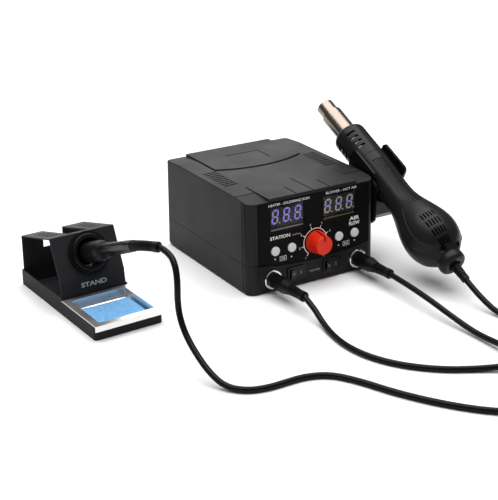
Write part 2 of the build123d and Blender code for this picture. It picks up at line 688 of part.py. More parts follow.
def fan_impeller():
    """Blower wheel with radial blades."""
    wheel = rod(FAN_RADIUS, -1.0, 0.2) + rod(5.0, 0.2, 8)
    for index in range(12):
        wheel += Rot(0, 0, index * 30) * Pos(11.5, 0, 4.0) * Box(11, 1.0, 8)
    return GUN.location * Pos(0, -FAN_DROP, FAN_S) * Rot(-90, 0, 0) * wheel


def gun_screws():
    """Screws that join the handle's halves, with their heads sunk in the upper one."""
    screws = []
    for x, s, depth in GUN_SCREWS:
        screw = rod(1.65, 2 - depth, depth) + rod(2.6, depth + 0.05, depth + 1.6)
        screws.append(GUN.location * Pos(x, 0, s) * Rot(-90, 0, 0) * screw)
    return Compound(children=screws)


def gun_relief():
    """Strain relief at the gun's tail."""
    body = rod(4.9, STUB_FLOOR + 0.1, STUB_END + 3) + cone(4.7, 3.9, STUB_END + 3, GUN_RELIEF_END)
    return GUN.location * body


# ---------------------------------------------------------------- iron and stand

def iron_grip():
    """Soft grip with a collar that rests in the ring."""
    return IRON * turned([(GRIP_START, 8.0), (GRIP_START + 1, 11.0), (-9, 11.4), (-7, 9.6), (30, 9.6),
                          (36, 8.4), (GRIP_END, 6.6)])


def iron_handle():
    """Slim glossy handle behind the grip."""
    return IRON * turned([(GRIP_END, 6.6), (50, IRON_HANDLE_RADIUS), (86, 5.7), (HANDLE_END, 5.2)])


def iron_nut():
    """Knurled nut that clamps the barrel."""
    return IRON * (rod(5.6, -24, GRIP_START) - rod(2.9, -25, -13))


def iron_barrel():
    """Steel barrel over the heating element."""
    return IRON * (rod(2.9, -50, GRIP_START) - rod(1.9, -51, -30))


def iron_tip():
    """Replaceable soldering tip."""
    return IRON * (cone(0.6, 1.9, -66, -54) + rod(1.9, -54, -30))


def bent_sheet(points, x):
    """A bent sheet in the stand's frame: flat runs between (y, z) points, round at each bend."""
    sheet = None
    for start, end in zip(points, points[1:]):
        length = hypot(end[0] - start[0], end[1] - start[1])
        angle = degrees(atan2(end[1] - start[1], end[0] - start[0]))
        middle = Pos((start[0] + end[0]) / 2, (start[1] + end[1]) / 2)
        run = Plane.YZ * middle * Rot(0, 0, angle) * SlotCenterToCenter(length, SHEET)
        solid = extrude(run, amount=x[1] - x[0])
        sheet = solid if sheet is None else sheet + solid
    return Pos(x[0], 0, 0) * sheet


def stand_base():
    """Folded sheet tray that the stand is built on: low walls at the front, higher ones behind."""
    outside = block((0, STAND_WIDTH), (0, STAND_DEPTH), (0, STAND_WALL_HEIGHT))
    outside = fillet(outside.edges().filter_by(Axis.Z).sort_by(Axis.Y)[:2], 3.0)
    inside = block((SHEET, STAND_WIDTH - SHEET), (SHEET, STAND_DEPTH - SHEET), (SHEET, 30))
    base = outside - fillet(inside.edges().filter_by(Axis.Z).sort_by(Axis.Y)[:2], 3.0 - SHEET)
    return STAND * (base - block((-5, 90), (-5, PANEL_FOOT[0] - 1), (TRAY_WALL_HEIGHT, 30)))


def stand_holder():
    """Bent sheet holder: rear wall, two flaps, sloping front panel and its foot."""
    points = [(HOLDER_REAR_Y, SHEET + 0.6), (HOLDER_REAR_Y, HOLDER_REAR_TOP), PANEL_CREST, PANEL_CREASE,
              PANEL_LOW, PANEL_FOOT]
    inset = SHEET + 0.1
    holder = bent_sheet(points, (inset, STAND_WIDTH - inset))
    holder -= block(NOTCH_X, (NOTCH_FRONT_Y, 160), (NOTCH_BOTTOM_Z, 90))
    for x in (12.5, 56.0):
        for index in range(4):
            y = 103 + index * 9
            slot = extrude(SlotOverall(13, 3.4), amount=30)
            holder -= Pos(x, y, 45) * slot
    holder -= Location(RING_CENTRE, (90 - SLANT, 0, 0)) * rod(15.1, -8, 8)
    return STAND * holder


def stand_ring():
    """Stepped ring in the front panel that the iron rests in, with a sleeve that narrows inwards."""
    ring = rod(20.0, SHEET / 2, 3.6) + rod(17.2, 3.6, 6.4)
    ring = fillet(ring.edges().filter_by(GeomType.CIRCLE).sort_by(Axis.Z)[-1], 0.8)
    ring += rod(RING_BORE + SLEEVE_WALL, SLEEVE_STRAIGHT, SHEET / 2)
    ring += cone(SLEEVE_MOUTH + SLEEVE_WALL, RING_BORE + SLEEVE_WALL, SLEEVE_END, SLEEVE_STRAIGHT)
    ring -= rod(RING_BORE, SLEEVE_STRAIGHT, 8)
    ring -= cone(SLEEVE_MOUTH, RING_BORE, SLEEVE_END, SLEEVE_STRAIGHT)
    return STAND * Location(RING_CENTRE, (90 - SLANT, 0, 0)) * ring


def stand_rivets():
    """Rivets that hold the holder to the base's side walls."""
    rivets = []
    for y in (80.0, 138.0):
        rivets.append(STAND * Pos(34, y, 0) * rod(3.0, SHEET, SHEET + 1.2))
    return Compound(children=rivets)


def sponge_tray():
    """Deep-drawn bright tray with a rolled front lip."""
    rim_top = TRAY_RIM_Z + TRAY_RIM
    rim = block(TRAY_X, TRAY_Y, (TRAY_RIM_Z, rim_top))
    rim += block(TRAY_X, (TRAY_Y[0], TRAY_Y[0] + TRAY_RIM), (9.0, rim_top))
    pocket = block(TRAY_POCKET_X, TRAY_POCKET_Y, (TRAY_FLOOR_Z, rim_top))
    pocket = fillet(pocket.edges().filter_by(Axis.Z) + pocket.faces().sort_by(Axis.Z)[0].edges(), 3.0)
    hollow = block((TRAY_POCKET_X[0] + TRAY_RIM, TRAY_POCKET_X[1] - TRAY_RIM),
                   (TRAY_POCKET_Y[0] + TRAY_RIM, TRAY_POCKET_Y[1] - TRAY_RIM), (TRAY_FLOOR_Z + TRAY_RIM, 20))
    hollow = fillet(hollow.edges().filter_by(Axis.Z) + hollow.faces().sort_by(Axis.Z)[0].edges(), 2.2)
    return STAND * (rim + pocket - hollow)


def sponge():
    """Cleaning sponge on the tray's floor."""
    low = TRAY_FLOOR_Z + TRAY_RIM + 0.1
    pad = block(SPONGE_X, SPONGE_Y, (low, low + SPONGE_THICKNESS))
    return STAND * fillet(pad.edges().filter_by(Axis.Z), 2.0)


# ---------------------------------------------------------------- cords

def coil(centre, turns):
    """Outer shape of a wound cord lying on the bench, two layers high."""
    half_width = turns / 2 * COIL_PITCH / 2 + CORD_RADIUS + 0.2
    outer = rod(COIL_MIDDLE_RADIUS + half_width, 0, COIL_HEIGHT)
    inner = rod(COIL_MIDDLE_RADIUS - half_width, -1, COIL_HEIGHT + 1)
    return Pos(centre[0], centre[1], 0) * (outer - inner)


def make_parts():
    """Every piece, by its node's name."""
    outer = case_block(0)
    inner = case_block(WALL)
    parts = {
        "lower_shell": lower_shell(outer, inner),
        "upper_shell": upper_shell(outer, inner),
        "front_panel": front_panel(),
        "display_windows": display_windows(),
        "iron_display": display(DISPLAY_X[0]),
        "air_display": display(DISPLAY_X[1]),
        "dial_knob": dial_knob(),
        "knob_shaft": knob_shaft(),
        "potentiometer": potentiometer(),
        "display_board": display_board(),
        "main_board": main_board(),
        "transformer": transformer(),
        "mains_inlet": mains_inlet(),
        "rubber_feet": rubber_feet(),
        "case_screws": case_screws(),
        "gun_cradle": gun_cradle(),
        "cradle_screws": cradle_screws(),
        "gun_nozzle": gun_nozzle(),
        "heater_tube": heater_tube(),
        "heater_core": heater_core(),
        "gun_collar": gun_collar(),
        "gun_shell_upper": gun_shell(True),
        "gun_shell_lower": gun_shell(False),
        "fan_motor": fan_motor(),
        "fan_impeller": fan_impeller(),
        "gun_screws": gun_screws(),
        "gun_relief": gun_relief(),
        "iron_grip": iron_grip(),
        "iron_handle": iron_handle(),
        "iron_nut": iron_nut(),
        "iron_barrel": iron_barrel(),
        "iron_tip": iron_tip(),
        "iron_relief": tube("iron_relief", IRON_RELIEF_ROUTE, 4.7),
        "stand_base": stand_base(),
        "stand_holder": stand_holder(),
        "stand_ring": stand_ring(),
        "stand_rivets": stand_rivets(),
        "sponge_tray": sponge_tray(),
        "sponge": sponge(),
        "iron_cord_drop": tube("iron_cord_drop", IRON_DROP_ROUTE, CORD_RADIUS),
        "iron_cord_lead": tube("iron_cord_lead", IRON_LEAD_ROUTE, CORD_RADIUS),
        "iron_cord_coil": coil(IRON_COIL_CENTRE, IRON_COIL_TURNS),
        "iron_cord_return": tube("iron_cord_return", IRON_RETURN_ROUTE, CORD_RADIUS),
        "gun_cord_lead": tube("gun_cord_lead", GUN_LEAD_ROUTE, CORD_RADIUS),
        "gun_cord_coil": coil(GUN_COIL_CENTRE, GUN_COIL_TURNS),
        "gun_cord_return": tube("gun_cord_return", GUN_RETURN_ROUTE, CORD_RADIUS),
    }
    for name, x in zip(("iron_down", "iron_up", "air_up", "air_down"), BUTTON_X):
        parts[name + "_button"] = button(x)
    for name, switch_x, socket_x in zip(("iron", "air"), SWITCH_X, SOCKET_X):
        parts[name + "_switch_frame"] = switch_frame(switch_x)
        parts[name + "_rocker"] = rocker(switch_x)
        parts[name + "_socket"] = socket(socket_x)
        parts[name + "_plug"] = plug(socket_x)
        parts[name + "_plug_relief"] = plug_relief(socket_x)
    return parts


os.makedirs("parts", exist_ok=True)
for node, shape in make_parts().items():
    export_step(shape, f"parts/{node}.step")
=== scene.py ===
"""Looks of the hot air and soldering station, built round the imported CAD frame.

Metres, in the frame of the CAD. Places and routes below are written in millimetres, as in the CAD.
"""
import json
from math import atan2, ceil, cos, pi, radians, sin

import bmesh
import bpy
from mathutils import Matrix, Vector, noise


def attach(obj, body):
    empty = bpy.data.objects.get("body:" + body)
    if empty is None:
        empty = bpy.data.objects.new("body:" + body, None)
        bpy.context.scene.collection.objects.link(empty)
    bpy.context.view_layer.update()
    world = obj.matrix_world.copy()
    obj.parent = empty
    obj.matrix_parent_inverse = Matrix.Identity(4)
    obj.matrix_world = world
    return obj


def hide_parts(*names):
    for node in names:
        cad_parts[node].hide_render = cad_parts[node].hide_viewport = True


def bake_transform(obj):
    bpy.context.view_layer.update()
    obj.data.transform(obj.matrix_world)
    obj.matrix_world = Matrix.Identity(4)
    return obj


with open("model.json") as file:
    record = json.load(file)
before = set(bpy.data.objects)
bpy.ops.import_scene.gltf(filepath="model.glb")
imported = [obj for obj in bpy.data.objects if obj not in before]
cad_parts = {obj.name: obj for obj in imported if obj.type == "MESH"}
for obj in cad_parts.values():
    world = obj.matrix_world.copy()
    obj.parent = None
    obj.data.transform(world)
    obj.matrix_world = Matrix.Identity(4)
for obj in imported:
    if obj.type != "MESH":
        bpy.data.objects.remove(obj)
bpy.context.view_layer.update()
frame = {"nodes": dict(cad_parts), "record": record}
nodes = frame["nodes"]
MM = 0.001
DECAL_GAP = 0.04              # how far printed marks lie above their surface, in millimetres


# ---------------------------------------------------------------- places taken over from the CAD

CASE_HEIGHT = 93.0
FRONT_Y = -80.0
FRONT_LEAN = 4.0                    # how far the front leans back over the case's height
LEAN = atan2(FRONT_LEAN, CASE_HEIGHT)
GUN_TIP = (96.0, 43.0, 131.3)
TILT = radians(25.4)                # how steeply the gun hangs
STAND_CORNER = (-235.3, -85.2, 0.0)
STAND_TURN = 2.5


def shift(x, y, z):
    """A move in millimetres."""
    return Matrix.Translation(Vector((x, y, z)) * MM)


def turn(angle, axis):
    """A rotation in degrees about a local axis."""
    return Matrix.Rotation(radians(angle), 4, axis)


def axes_matrix(origin, x_axis, z_axis):
    """Matrix with local X and Z along the given directions; the origin is in millimetres."""
    x = Vector(x_axis).normalized()
    z = Vector(z_axis).normalized()
    matrix = Matrix((x, z.cross(x), z)).transposed().to_4x4()
    matrix.translation = Vector(origin) * MM
    return matrix


FACE = axes_matrix((0, FRONT_Y, 0), (1, 0, 0), (0, -cos(LEAN), sin(LEAN)))
GUN = axes_matrix(GUN_TIP, (1, 0, 0), (0, -cos(TILT), -sin(TILT)))
STAND = shift(*STAND_CORNER) @ turn(STAND_TURN, "Z")
SOCKET_X = {"iron": -48.1, "air": 50.3}
SWITCH_X = {"iron": -20.4, "air": 20.6}
DISPLAY_X = {"iron": -29.4, "air": 30.6}
LOWER_ROW_Z = 14.0
KNOB = (2.0, 41.3)
ROCKER_TILT = 7.0
CORD_RADIUS = 2.75
FLOOR = CORD_RADIUS                 # height of a cord's middle where it lies on the bench


def on_face(x, z, out=0.0):
    """A place on the leaning front, with local Z pointing out of it."""
    return FACE @ shift(x, z, out)


IRON_RELIEF = [(-199.3, -95.2, 86.0), (-198.4, -106.6, 90.8), (-190.0, -125.5, 93.2)]
IRON_DROP = [
    (-190.0, -125.5, 93.2), (-187.6, -138.0, 91.8), (-188.6, -149.3, 85.2), (-190.2, -155.2, 73.0),
    (-191.2, -156.4, 57.0), (-191.4, -159.8, 43.0), (-191.3, -169.0, 31.0), (-190.7, -184.0, 20.5),
    (-189.0, -203.0, 10.5), (-184.2, -221.0, 3.6), (-172.0, -234.0, FLOOR), (-155.5, -239.0, FLOOR),
    (-138.5, -239.0, FLOOR),
]
IRON_LEAD = [
    (-119.0, -239.0, FLOOR), (-99.0, -247.0, FLOOR), (-85.0, -269.0, FLOOR), (-73.0, -298.0, FLOOR),
    (-55.0, -329.0, FLOOR), (-33.0, -357.0, FLOOR), (-9.0, -376.0, FLOOR),
]
IRON_RETURN = [
    (37.0, -319.0, 5.6), (12.0, -304.5, FLOOR), (-14.0, -290.0, FLOOR), (-37.0, -268.0, FLOOR),
    (-52.0, -242.0, FLOOR), (-57.5, -214.0, FLOOR), (-55.0, -188.0, FLOOR), (-50.4, -166.0, 5.0),
    (-48.4, -150.0, 11.8), (-48.1, -134.8, 16.4),
]
GUN_LEAD = [
    (96.0, -190.4, 20.5), (96.0, -201.3, 15.3), (96.4, -215.0, 9.6), (97.6, -231.0, 4.0),
    (101.5, -250.0, FLOOR), (110.0, -271.0, FLOOR),
]
GUN_RETURN = [
    (53.0, -281.0, 5.4), (52.4, -253.0, 4.0), (51.0, -222.0, 8.4), (50.6, -192.0, 12.6),
    (50.4, -162.0, 15.2), (50.3, -134.8, 16.4),
]
IRON_COIL = ((33.2, -361.0), 2.48, 233, 1)     # middle, turns, entry angle, direction
GUN_COIL = ((89.0, -305.0), 4.56, 20, -1)
COIL_MIDDLE_RADIUS = 28.5
COIL_PITCH = 5.7
LAYER_RISE = 2 * CORD_RADIUS - 0.5
CLIMB_START = 0.46                  # share of the coil where the line climbs to its upper layer
CLIMB_SHARE = 0.08
POINTS_A_TURN = 16


def coil_points(centre, turns, entry_angle, direction):
    """Two flat layers of turns: inwards on the bench, up, and outwards on top of the first layer."""
    half_span = turns / 2 * COIL_PITCH / 2
    count = ceil(turns * POINTS_A_TURN)
    points = []
    for index in range(count + 1):
        share = index / count
        angle = radians(entry_angle) + direction * 2 * pi * turns * share
        inward = 1 - abs(2 * share - 1)
        radius = COIL_MIDDLE_RADIUS + half_span - 2 * half_span * inward
        climb = min(1.0, max(0.0, (share - CLIMB_START) / CLIMB_SHARE))
        z = FLOOR + LAYER_RISE * climb
        points.append((centre[0] + radius * cos(angle), centre[1] + radius * sin(angle), z))
    return points


def smooth_line(route, samples):
    """Points along the NURBS curve that the route controls."""
    data = bpy.data.curves.new("route", "CURVE")
    data.dimensions = "3D"
    spline = data.splines.new("NURBS")
    spline.points.add(len(route) - 1)
    for point, place in zip(spline.points, route):
        point.co = (*(Vector(place) * MM), 1.0)
    spline.use_endpoint_u = True
    spline.order_u = 3
    data.resolution_u = samples
    curve = bpy.data.objects.new("route", data)
    mesh = bpy.data.meshes.new_from_object(curve)
    points = [vertex.co.copy() for vertex in mesh.vertices]
    bpy.data.objects.remove(curve)
    bpy.data.meshes.remove(mesh)
    bpy.data.curves.remove(data)
    return points


# ---------------------------------------------------------------- materials

def finish(name, colour, roughness, metallic=0.0, specular=0.5, grain=None, smudge=0.0):
    """A Principled material. grain is (size in mm, strength) of a bump, smudge varies the roughness."""
    material = bpy.data.materials.new(name)
    material.use_nodes = True
    tree = material.node_tree
    shader = tree.nodes["Principled BSDF"]
    shader.inputs["Base Color"].default_value = (*colour, 1)
    shader.inputs["Roughness"].default_value = roughness
    shader.inputs["Metallic"].default_value = metallic
    shader.inputs["Specular IOR Level"].default_value = specular
    if grain or smudge:
        place = tree.nodes.new("ShaderNodeTexCoord")
    if grain:
        pattern = noise_texture(tree, place, 1000 / grain[0], 3)
        bump = tree.nodes.new("ShaderNodeBump")
        bump.inputs["Strength"].default_value = grain[1]
        bump.inputs["Distance"].default_value = grain[0] * MM * 0.25
        tree.links.new(pattern.outputs["Fac"], bump.inputs["Height"])
        tree.links.new(bump.outputs["Normal"], shader.inputs["Normal"])
    if smudge:
        cloud = noise_texture(tree, place, 28, 4)
        spread = tree.nodes.new("ShaderNodeMapRange")
        spread.inputs["From Min"].default_value = 0.3
        spread.inputs["From Max"].default_value = 0.7
        spread.inputs["To Min"].default_value = roughness - smudge
        spread.inputs["To Max"].default_value = roughness + smudge
        tree.links.new(cloud.outputs["Fac"], spread.inputs["Value"])
        tree.links.new(spread.outputs["Result"], shader.inputs["Roughness"])
    return material


def noise_texture(tree, place, scale, detail):
    """A noise texture in object space."""
    pattern = tree.nodes.new("ShaderNodeTexNoise")
    pattern.inputs["Scale"].default_value = scale
    pattern.inputs["Detail"].default_value = detail
    tree.links.new(place.outputs["Object"], pattern.inputs["Vector"])
    return pattern


def window_material():
    """Smoky clear plastic."""
    material = finish("clear_window", (0.02, 0.02, 0.022), 0.12, specular=0.4)
    material.node_tree.nodes["Principled BSDF"].inputs["Alpha"].default_value = 0.3
    return material


def glowing(name, colour, light, strength):
    """A glowing display segment. Lit segments are lamps; on unlit segments the glow is painted light."""
    material = finish(name, colour, 0.4)
    shader = material.node_tree.nodes["Principled BSDF"]
    shader.inputs["Emission Color"].default_value = (*light, 1)
    shader.inputs["Emission Strength"].default_value = strength
    return material


def sponge_material():
    """Damp cellulose: blue, with painted shade as darker spots for the holes in it."""
    material = finish("sponge_blue", (0.19, 0.5, 0.85), 0.85, specular=0.2, grain=(1.1, 0.9))
    tree = material.node_tree
    place = tree.nodes.new("ShaderNodeTexCoord")
    # painted shade: darker blue spots for the shade inside the sponge's holes
    pore_shade = noise_texture(tree, place, 700, 2)
    ramp = tree.nodes.new("ShaderNodeValToRGB")
    ramp.color_ramp.elements[0].position = 0.35
    ramp.color_ramp.elements[0].color = (0.11, 0.3, 0.56, 1)
    ramp.color_ramp.elements[1].position = 0.5
    ramp.color_ramp.elements[1].color = (0.2, 0.46, 0.78, 1)
    tree.links.new(pore_shade.outputs["Fac"], ramp.inputs["Fac"])
    tree.links.new(ramp.outputs["Color"], tree.nodes["Principled BSDF"].inputs["Base Color"])
    return material


MATERIALS = {
    "case": finish("case", (0.0185, 0.0178, 0.0192), 0.42, specular=0.11, grain=(0.5, 0.2), smudge=0.05),
    "fascia": finish("fascia", (0.0065, 0.006, 0.007), 0.4, specular=0.04, grain=(0.3, 0.08)),
    "clear_window": window_material(),
    "display_face": finish("display_face", (0.09, 0.085, 0.08), 0.5, specular=0.2),
    "knob_red": finish("knob_red", (0.86, 0.03, 0.008), 0.36, specular=0.3, smudge=0.05),
    "steel": finish("steel", (0.32, 0.295, 0.27), 0.24, 1.0, smudge=0.06),
    "circuit_board": finish("circuit_board", (0.02, 0.15, 0.04), 0.5),
    "rubber_black": finish("rubber_black", (0.005, 0.005, 0.0053), 0.42, specular=0.16, grain=(0.4, 0.1)),
    "core_steel": finish("core_steel", (0.2, 0.2, 0.2), 0.6, 1.0),
    "gloss_black": finish("gloss_black", (0.0055, 0.0052, 0.0057), 0.2, specular=0.24, smudge=0.05),
    "chrome": finish("chrome", (0.78, 0.75, 0.72), 0.13, 1.0, smudge=0.05),
    "ceramic": finish("ceramic", (0.6, 0.58, 0.52), 0.6, grain=(0.4, 0.2)),
    "handle_black": finish("handle_black", (0.0115, 0.011, 0.0118), 0.31, specular=0.16, grain=(0.35, 0.1)),
    "stand_paint": finish("stand_paint", (0.024, 0.0232, 0.026), 0.34, specular=0.03, grain=(0.6, 0.12),
                          smudge=0.05),
    "sponge_blue": sponge_material(),
    "cord_black": finish("cord_black", (0.0035, 0.0035, 0.0038), 0.33, specular=0.13, grain=(0.3, 0.05)),
    "button_grey": finish("button_grey", (0.8, 0.8, 0.76), 0.42, specular=0.3, grain=(0.3, 0.06)),
}
TINTED_CHROME = finish("chrome_tinted", (0.25, 0.21, 0.18), 0.26, 1.0, smudge=0.06)
TRAY_CHROME = finish("chrome_soft", (0.85, 0.83, 0.81), 0.3, 1.0, smudge=0.08)
BLACK_STEEL = finish("black_steel", (0.05, 0.05, 0.05), 0.35, 1.0)
SPECIAL_NODES = {
    "gun_nozzle": TINTED_CHROME,
    "heater_tube": TINTED_CHROME,
    "gun_screws": BLACK_STEEL,
    "sponge_tray": TRAY_CHROME,
}
PRINT = finish("print_light", (0.95, 0.94, 0.93), 0.5)
PRINT_DIM = finish("print_dim", (0.4, 0.4, 0.4), 0.5)
# black for printed lines, and painted shade in the screws' cross recesses
BLACK_PRINT_AND_SHADE = finish("black_print_and_painted_shade", (0.006, 0.006, 0.006), 0.5, specular=0.0)
# unlit bars and points: their pale glow is painted light, not a lamp
SEGMENT_PALE_PAINTED_GLOW = glowing("segment_pale_painted_glow", (0.5, 0.48, 0.48), (0.5, 0.48, 0.5), 0.75)
SEGMENT_LIT = glowing("segment_lit", (0.3, 0.25, 0.7), (0.36, 0.29, 1.0), 1.1)
RIM_STRIP = finish("rim_strip", (0.3, 0.25, 0.1), 0.5)


def repaint_nodes():
    """Every CAD node takes the finish of its record slot."""
    slots = {part["node"]: part["material_slot"] for part in frame["record"]["subparts"]}
    for name, node in nodes.items():
        for index in range(len(node.data.materials)):
            node.data.materials[index] = SPECIAL_NODES.get(name, MATERIALS[slots[name]])


# ---------------------------------------------------------------- meshes

SHARP_ANGLE = 40
SAME_PLACE = 1e-7


def new_piece(name, mesh, material, smooth=True):
    """An object for a finished mesh, with its material."""
    piece = bpy.data.objects.new(name, mesh)
    bpy.context.scene.collection.objects.link(piece)
    mesh.materials.append(material)
    for polygon in mesh.polygons:
        polygon.use_smooth = smooth
    if smooth:
        mesh.set_sharp_from_angle(angle=radians(SHARP_ANGLE))
    return piece


def swept(name, centres, radii, material, sides=32):
    """A closed tube with one ring of the given radius (metres) at each centre."""
    tangents = []
    for index, centre in enumerate(centres):
        apart = [other for other, place in enumerate(centres) if (place - centre).length > SAME_PLACE]
        before = max([other for other in apart if other < index], default=0)
        after = min([other for other in apart if other > index], default=index)
        tangents.append((centres[after] - centres[before]).normalized())
    side = tangents[0].orthogonal().normalized()
    bm = bmesh.new()
    rings = []
    for centre, tangent, radius in zip(centres, tangents, radii):
        side = (side - tangent * side.dot(tangent)).normalized()
        other = tangent.cross(side)
        angles = [2 * pi * step / sides for step in range(sides)]
        rings.append([bm.verts.new(centre + radius * (side * cos(a) + other * sin(a))) for a in angles])
    for ring, following in zip(rings, rings[1:]):
        for step in range(sides):
            ahead = (step + 1) % sides
            bm.faces.new((ring[step], ring[ahead], following[ahead], following[step]))
    bm.faces.new(list(reversed(rings[0])))
    bm.faces.new(rings[-1])
    bmesh.ops.recalc_face_normals(bm, faces=bm.faces)
    mesh = bpy.data.meshes.new(name)
    bm.to_mesh(mesh)
    bm.free()
    return new_piece(name, mesh, material)


def printed(name, polygons, place, material, body):
    """Flat marks: polygons of local (x, y) points in millimetres, lying on a place that rides a body."""
    points = []
    faces = []
    for polygon in polygons:
        faces.append(tuple(range(len(points), len(points) + len(polygon))))
        points += [place @ (Vector((x, y, DECAL_GAP)) * MM) for x, y in polygon]
    mesh = bpy.data.meshes.new(name)
    mesh.from_pydata(points, [], faces)
    piece = new_piece(name, mesh, material, False)
    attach(piece, body)
    return piece


def rectangle(x, y, width, height):
    """Corners of a rectangle round a middle point."""
    return [(x - width / 2, y - height / 2), (x + width / 2, y - height / 2),
            (x + width / 2, y + height / 2), (x - width / 2, y + height / 2)]


def arc_band(radius, width, start, end, steps=48):
    """Quads along an arc; the angles are in degrees."""
    band = []
    for step in range(steps):
        first = radians(start + (end - start) * step / steps)
        second = radians(start + (end - start) * (step + 1) / steps)
        low, high = radius - width / 2, radius + width / 2
        band.append([(low * cos(first), low * sin(first)), (high * cos(first), high * sin(first)),
                     (high * cos(second), high * sin(second)), (low * cos(second), low * sin(second))])
    return band


def lettering(name, words, place, height, material, body, width=None, bold=0.0):
    """Words centred on a place, scaled to a capital height and, if given, a width, in millimetres."""
    data = bpy.data.curves.new(name, "FONT")
    data.body = words
    data.align_x = "CENTER"
    data.align_y = "CENTER"
    data.offset = bold
    text = bpy.data.objects.new(name, data)
    mesh = bpy.data.meshes.new_from_object(text)
    bpy.data.objects.remove(text)
    bpy.data.curves.remove(data)
    low = [min(vertex.co[axis] for vertex in mesh.vertices) for axis in (0, 1)]
    high = [max(vertex.co[axis] for vertex in mesh.vertices) for axis in (0, 1)]
    tall = height / (high[1] - low[1])
    wide = width / (high[0] - low[0]) if width else tall
    for vertex in mesh.vertices:
        x = (vertex.co.x - (low[0] + high[0]) / 2) * wide
        y = (vertex.co.y - (low[1] + high[1]) / 2) * tall
        vertex.co = place @ (Vector((x, y, DECAL_GAP)) * MM)
    piece = new_piece(name, mesh, material, False)
    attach(piece, body)
    return piece


# ---------------------------------------------------------------- cords and strain reliefs

def cord_piece(name, route, replaced):
    """One whole cord as a mesh tube: it lies on the bench and runs up to the moving tool."""
    line = smooth_line(route, 6)
    tube = swept(name, line, [CORD_RADIUS * MM] * len(line), MATERIALS["cord_black"], 20)
    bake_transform(tube)
    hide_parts(*replaced)


def place_along(line, distance):
    """The point at a distance in millimetres along a line of points."""
    left = distance * MM
    for before, after in zip(line, line[1:]):
        step = (after - before).length
        if left <= step:
            return before.lerp(after, left / step)
        left -= step
    return line[-1].copy()


RIB_OUTLINE = [(0, 0.35), (0.08, 0), (0.5, 0), (0.58, 0.35)]     # share of the pitch, depth below the rib
GROOVE_SHARES = (0.62, 0.96)


def ribs(start, end, start_radius, end_radius, count, depth):
    """(distance, radius) steps of a boot with rings separated by deeper gaps."""
    steps = []
    pitch = (end - start) / count
    for index in range(count):
        share = index / max(1, count - 1)
        radius = start_radius + (end_radius - start_radius) * share
        low = start + index * pitch
        for along, cut in RIB_OUTLINE + [(place, depth) for place in GROOVE_SHARES]:
            steps.append((low + along * pitch, radius - cut))
    return steps


PLUG_BOOT = [(0, 5.2)] + ribs(0.3, 17, 5.2, 4.6, 5, 1.7) + [(17.1, 4.9), (21.6, 4.9), (22, 4.4)]
PLUG_BOOT_SPAN = (33, 55)           # in front of the panel
GUN_BOOT = [(0, 4.9), (5.4, 4.9), (5.6, 4.4)] + ribs(5.8, 21, 4.9, 4.1, 6, 1.0)
GUN_BOOT += [(21, 4.2), (24, 4.0), (24.3, 3.6)]
GUN_BOOT_SPAN = (233.7, 258)        # from the gun's tip
IRON_BOOT = [(0, 4.7), (1.5, 4.7)] + ribs(2, 26, 4.7, 4.5, 9, 1.1) + [(26, 4.7), (31.2, 4.7), (31.6, 4.2)]


def boot(name, line, steps, body, replaced):
    """A ribbed rubber strain relief along a line."""
    centres = [place_along(line, distance) for distance, radius in steps]
    piece = swept(name, centres, [radius * MM for distance, radius in steps], MATERIALS["rubber_black"], 40)
    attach(piece, body)
    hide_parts(replaced)
    return piece


def straight_line(place, start, end):
    """Two points on a place's local Z axis."""
    return [place @ (Vector((0, 0, start)) * MM), place @ (Vector((0, 0, end)) * MM)]


def build_cords():
    """Both cords with the boots at their ends."""
    for name, x in SOCKET_X.items():
        line = straight_line(on_face(x, LOWER_ROW_Z), *PLUG_BOOT_SPAN)
        boot(name + "_plug_boot", line, PLUG_BOOT, "root", name + "_plug_relief")
    boot("gun_boot", straight_line(GUN, *GUN_BOOT_SPAN), GUN_BOOT, "gun", "gun_relief")
    boot("iron_boot", smooth_line(IRON_RELIEF, 12), IRON_BOOT, "iron", "iron_relief")
    iron_route = IRON_DROP + IRON_LEAD + coil_points(*IRON_COIL) + IRON_RETURN
    gun_route = GUN_LEAD + coil_points(*GUN_COIL) + GUN_RETURN
    cord_piece("iron_cord", iron_route,
               ["iron_cord_drop", "iron_cord_lead", "iron_cord_coil", "iron_cord_return"])
    cord_piece("gun_cord", gun_route,
               ["gun_cord_lead", "gun_cord_coil", "gun_cord_return"])


# ---------------------------------------------------------------- displays

DIGIT_HEIGHT = 14.2
DIGIT_WIDTH = 7.4
DIGIT_PITCH = 12.7
DIGIT_SLANT = 0.11
SEGMENT = 1.7
SEGMENT_GAP = 0.3
POINT_SIZE = 1.4
POINT_GAP = 1.1
DISPLAY_DEPTH = -1.95
SEGMENTS_OF = {"2": "abged", "0": "abcdef", "-": "g"}
READINGS = [("iron", 74.1, "200"), ("air", 73.4, "---")]        # display, height of its middle, digits


def segment_outlines():
    """The seven bars of a digit as polygons round its middle, before the slant."""
    across, down = DIGIT_WIDTH / 2 - SEGMENT / 2, DIGIT_HEIGHT / 2 - SEGMENT / 2
    half = SEGMENT / 2
    bars = {}
    for letter, y in (("a", down), ("g", 0), ("d", -down)):
        reach = across - SEGMENT_GAP
        bars[letter] = [(-reach, y), (half - reach, y + half), (reach - half, y + half), (reach, y),
                        (reach - half, y - half), (half - reach, y - half)]
    for letter, x, middle in (("f", -across, down / 2), ("b", across, down / 2),
                              ("e", -across, -down / 2), ("c", across, -down / 2)):
        reach = down / 2 - SEGMENT_GAP
        high, low = middle + reach - half, middle + half - reach
        bars[letter] = [(x, middle + reach), (x + half, high), (x + half, low),
                        (x, middle - reach), (x - half, low), (x - half, high)]
    return bars


